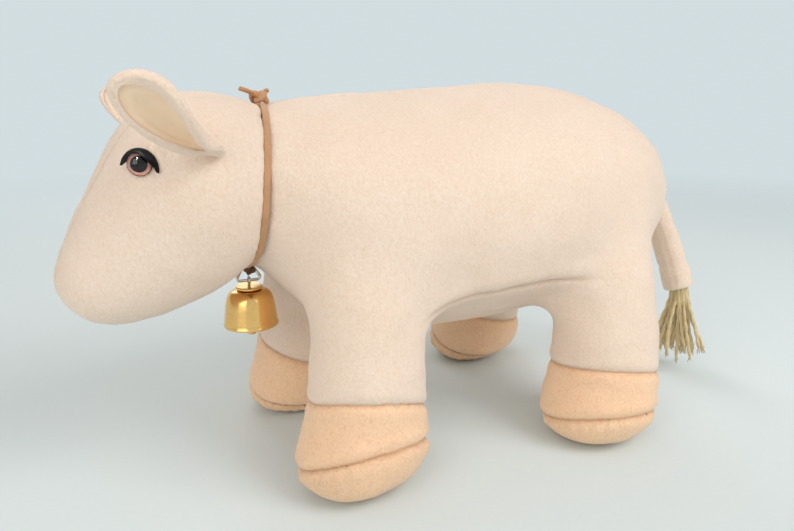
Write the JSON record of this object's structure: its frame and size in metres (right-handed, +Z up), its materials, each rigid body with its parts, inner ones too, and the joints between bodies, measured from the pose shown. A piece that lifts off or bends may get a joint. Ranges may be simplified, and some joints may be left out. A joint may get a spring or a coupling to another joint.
{
  "type": "plush cow",
  "caption": "Stuffed plush cow standing on rounded hooves, with flapping ears, a wagging tasselled tail and a ringing bell hung from a neck lace.",
  "frame": {"origin": "middle of the length and width, at the floor under the soles", "axes": "+X toward the tail, -X toward the nose, +Y toward the right side of the cow, +Z up"},
  "size_m": [0.4162, 0.1992, 0.203],
  "materials": {
    "cream_plush": "short-pile plush",
    "tan_plush": "short-pile plush",
    "sole_cloth": "napped cloth",
    "fleece": "smooth fleece",
    "amber_lens": "polished",
    "black_plastic": "moulded",
    "white_plastic": "moulded",
    "suede": "napped suede",
    "brass": "polished",
    "chrome": "bright wire",
    "yarn": "twisted yarn"
  },
  "bodies": {
    "cow": {"eye_backing_left": "black_plastic", "eye_backing_right": "black_plastic", "eye_lens_left": "amber_lens", "eye_lens_right": "amber_lens", "eye_washer_left": "white_plastic", "eye_washer_right": "white_plastic", "eyelid_left": "black_plastic", "eyelid_right": "black_plastic", "head": "cream_plush", "hoof_front_left": "tan_plush", "hoof_front_right": "tan_plush", "hoof_rear_left": "tan_plush", "hoof_rear_right": "tan_plush", "lace_knot": "suede", "leg_front_left": "cream_plush", "leg_front_right": "cream_plush", "leg_rear_left": "cream_plush", "leg_rear_right": "cream_plush", "neck_lace": "suede", "sole_front_left": "sole_cloth", "sole_front_right": "sole_cloth", "sole_rear_left": "sole_cloth", "sole_rear_right": "sole_cloth", "torso": "cream_plush"},
    "bail": {"bell_bail": "chrome"},
    "bell": {"bell_collar": "brass", "bell_shell": "brass", "bell_staple": "chrome"},
    "clapper": {"clapper": "brass"},
    "tail": {"tail": "cream_plush"},
    "tassel": {"tail_tassel": "yarn"},
    "ear_left": {"ear_lining_left": "fleece", "ear_outer_left": "cream_plush"},
    "ear_right": {"ear_lining_right": "fleece", "ear_outer_right": "cream_plush"}
  },
  "joints": [
    {"name": "bail_swing", "type": "hinge", "parent": "cow", "child": "bail", "pos_m": [-0.11873, 0, 0.108], "axis": [0, 1, 0], "range_deg": [-11, 24]},
    {"name": "bell_sway", "type": "hinge", "parent": "bail", "child": "bell", "pos_m": [-0.11873, 0, 0.1008], "axis": [1, 0, 0], "range_deg": [-38, 38]},
    {"name": "clapper_swing", "type": "hinge", "parent": "bell", "child": "clapper", "pos_m": [-0.11873, 0, 0.0899], "axis": [0, 1, 0], "range_deg": [-34, 34]},
    {"name": "tail_wag", "type": "hinge", "parent": "cow", "child": "tail", "pos_m": [0.15117, 0, 0.1566], "axis": [1, 0, 0], "range_deg": [-25, 45], "stiffness_Nm_per_rad": 0.03},
    {"name": "tassel_swing", "type": "hinge", "parent": "tail", "child": "tassel", "pos_m": [0.18367, -0.0269, 0.0616], "axis": [0, 1, 0], "range_deg": [-28, 24]},
    {"name": "ear_flap_left", "type": "hinge", "parent": "cow", "child": "ear_left", "pos_m": [-0.13783, -0.0483, 0.1682], "axis": [-0.6936, 0.4353, -0.5739], "range_deg": [-35, 5], "stiffness_Nm_per_rad": 0.02},
    {"name": "ear_flap_right", "type": "hinge", "parent": "cow", "child": "ear_right", "pos_m": [-0.13783, 0.0483, 0.1682], "axis": [0.6936, 0.4353, 0.5739], "range_deg": [-35, 5], "stiffness_Nm_per_rad": 0.02}
  ]
}
